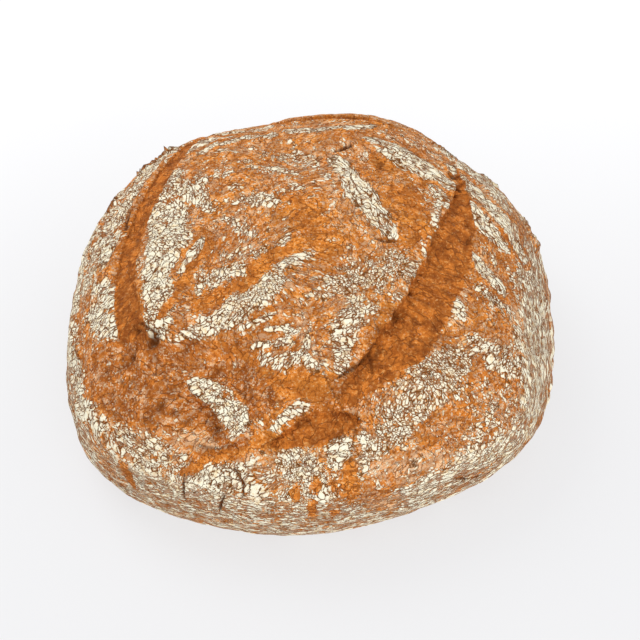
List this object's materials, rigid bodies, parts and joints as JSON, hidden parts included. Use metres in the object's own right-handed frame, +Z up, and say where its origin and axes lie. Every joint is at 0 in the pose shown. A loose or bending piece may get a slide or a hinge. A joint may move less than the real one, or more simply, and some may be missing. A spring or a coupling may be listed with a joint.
{
  "type": "sourdough loaf",
  "caption": "Round, domed sourdough loaf with a ring of deep scores round a lifted lid of crust, a torn front, and a flat base.",
  "frame": {"origin": "middle of the loaf's outline, on the flat base it rests on", "axes": "+Z up; the torn front of the crust faces -Y and the long wide score is on the +X side"},
  "size_m": [0.2376, 0.2394, 0.0992],
  "materials": {
    "crust": "matte"
  },
  "bodies": {
    "root": {"loaf": "crust"}
  },
  "joints": []
}
